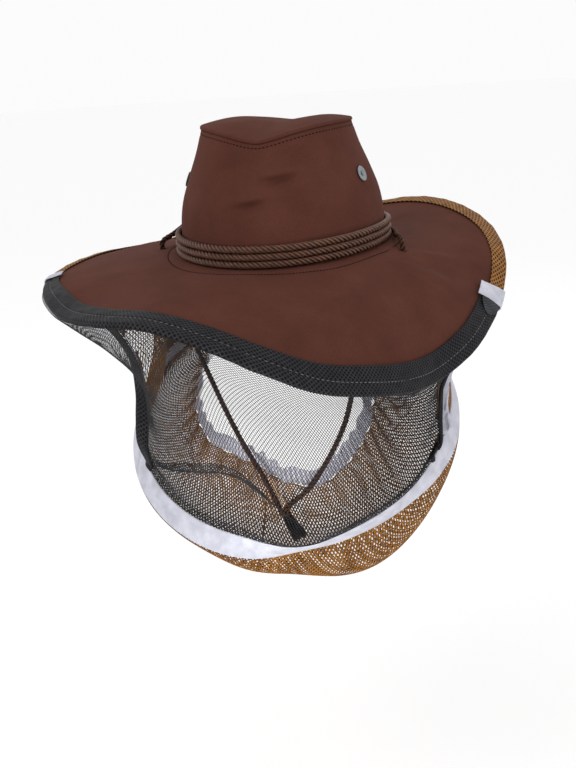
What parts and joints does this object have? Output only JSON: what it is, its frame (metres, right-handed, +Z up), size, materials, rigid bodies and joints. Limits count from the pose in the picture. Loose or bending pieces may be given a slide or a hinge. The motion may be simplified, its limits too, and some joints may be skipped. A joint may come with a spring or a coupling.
{
  "type": "beekeeper hat",
  "caption": "Brown cloth hat with a see-through net veil hung from the brim to a flat hoop, a net skirt gathered at the neck, a cord hatband and a chin cord with a tassel.",
  "frame": {"origin": "middle of the head opening at the foot of the crown, where the head sits", "axes": "+Z up through the crown, -Y towards the front of the hat, +X towards the wearer's left"},
  "size_m": [0.388, 0.4327, 0.3776],
  "materials": {
    "brown_cloth": "matte suede-like brown cotton cloth",
    "band_cord": "twisted satin cord, bronze brown",
    "eyelet_metal": "grey metal eyelet",
    "black_net_tape": "fine black net folded several times into a tape",
    "brown_net_tape": "golden-brown net folded into a tape",
    "white_tape": "white woven tape",
    "hoop_tape": "white tape over a springy hoop",
    "black_net": "fine black see-through net",
    "brown_net": "golden-brown see-through net",
    "black_hem": "rolled hem of black net",
    "ruffle_cloth": "pale lilac-white gathered cloth tape",
    "chin_cord": "dark brown twisted cord",
    "tassel_thread": "dark brown thread"
  },
  "bodies": {
    "root": {"crown_wall": "brown_cloth", "crown_tip": "brown_cloth", "brim": "brown_cloth", "eyelet_right": "eyelet_metal", "eyelet_left": "eyelet_metal", "band_cord_lower": "band_cord", "band_cord_middle": "band_cord", "band_cord_upper": "band_cord", "front_binding": "black_net_tape", "rear_binding": "brown_net_tape", "tab_right": "white_tape", "tab_left": "white_tape", "front_net": "black_net", "back_net": "brown_net", "side_tape_right": "white_tape", "side_tape_left": "white_tape", "side_hem_right": "black_hem", "side_hem_left": "black_hem", "hoop": "hoop_tape", "skirt_net": "brown_net", "neck_ruffle": "ruffle_cloth", "chin_cord": "chin_cord", "chin_tassel": "tassel_thread"}
  },
  "joints": []
}
